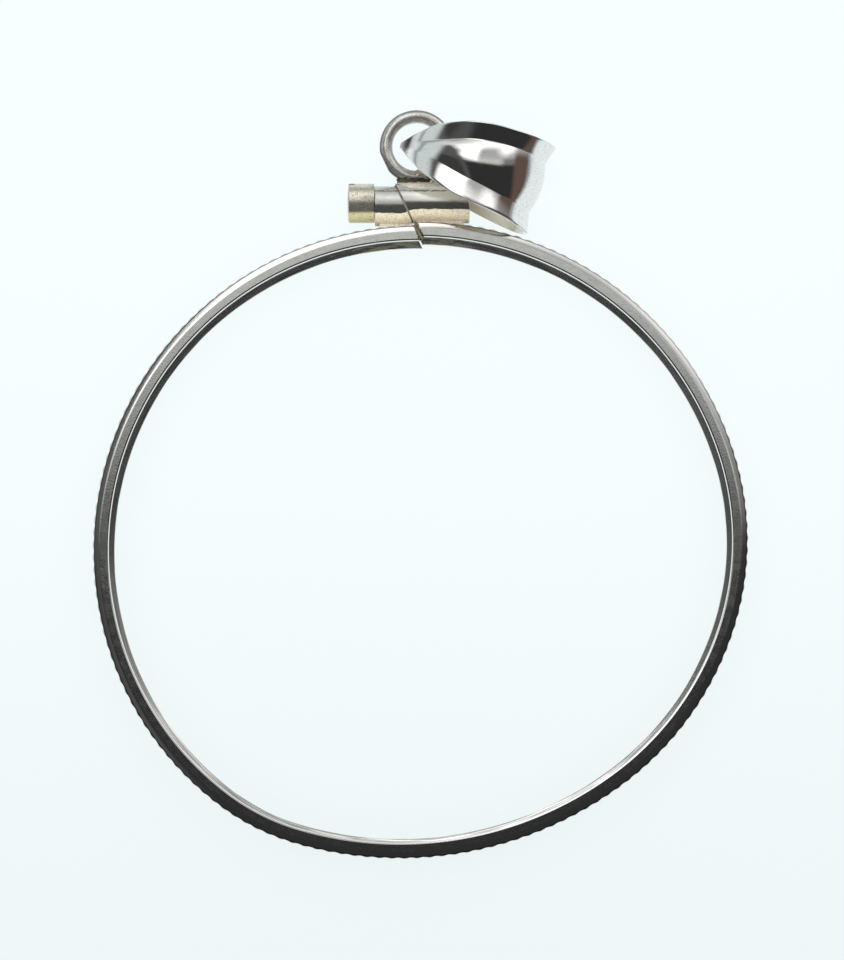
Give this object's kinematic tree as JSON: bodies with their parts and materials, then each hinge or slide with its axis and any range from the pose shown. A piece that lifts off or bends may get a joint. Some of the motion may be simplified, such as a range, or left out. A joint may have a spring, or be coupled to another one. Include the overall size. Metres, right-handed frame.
{
  "type": "coin bezel pendant",
  "caption": "Empty screw-top coin bezel: a thin reeded channel ring that grips a coin by its edge, drawn shut by a small screw, with a soldered loop and a tapered fluted bail.",
  "frame": {"origin": "centre of the coin's seat, halfway between the two lips", "axes": "+Z out of the front face, +Y from the seat's centre to the screw tube, +X to the right seen from the front, away from the screw's head"},
  "size_m": [0.0396, 0.0456, 0.0052],
  "materials": {
    "satin_silver": "worn satin silver",
    "polished_silver": "polished silver",
    "tarnished_screw": "dull yellowed metal"
  },
  "bodies": {
    "bezel": {"bezel": "satin_silver"},
    "screw": {"screw": "tarnished_screw"},
    "bail": {"bail": "polished_silver"}
  },
  "joints": [
    {"name": "screw_draw", "type": "slide", "parent": "bezel", "child": "screw", "axis": [-1, 0, 0], "range_m": [0, 0.0042]},
    {"name": "bail_swing", "type": "hinge", "parent": "bezel", "child": "bail", "pos_m": [-0.00011, 0.02424, 0], "axis": [0, 0, 1], "range_deg": [-2, 190]}
  ]
}
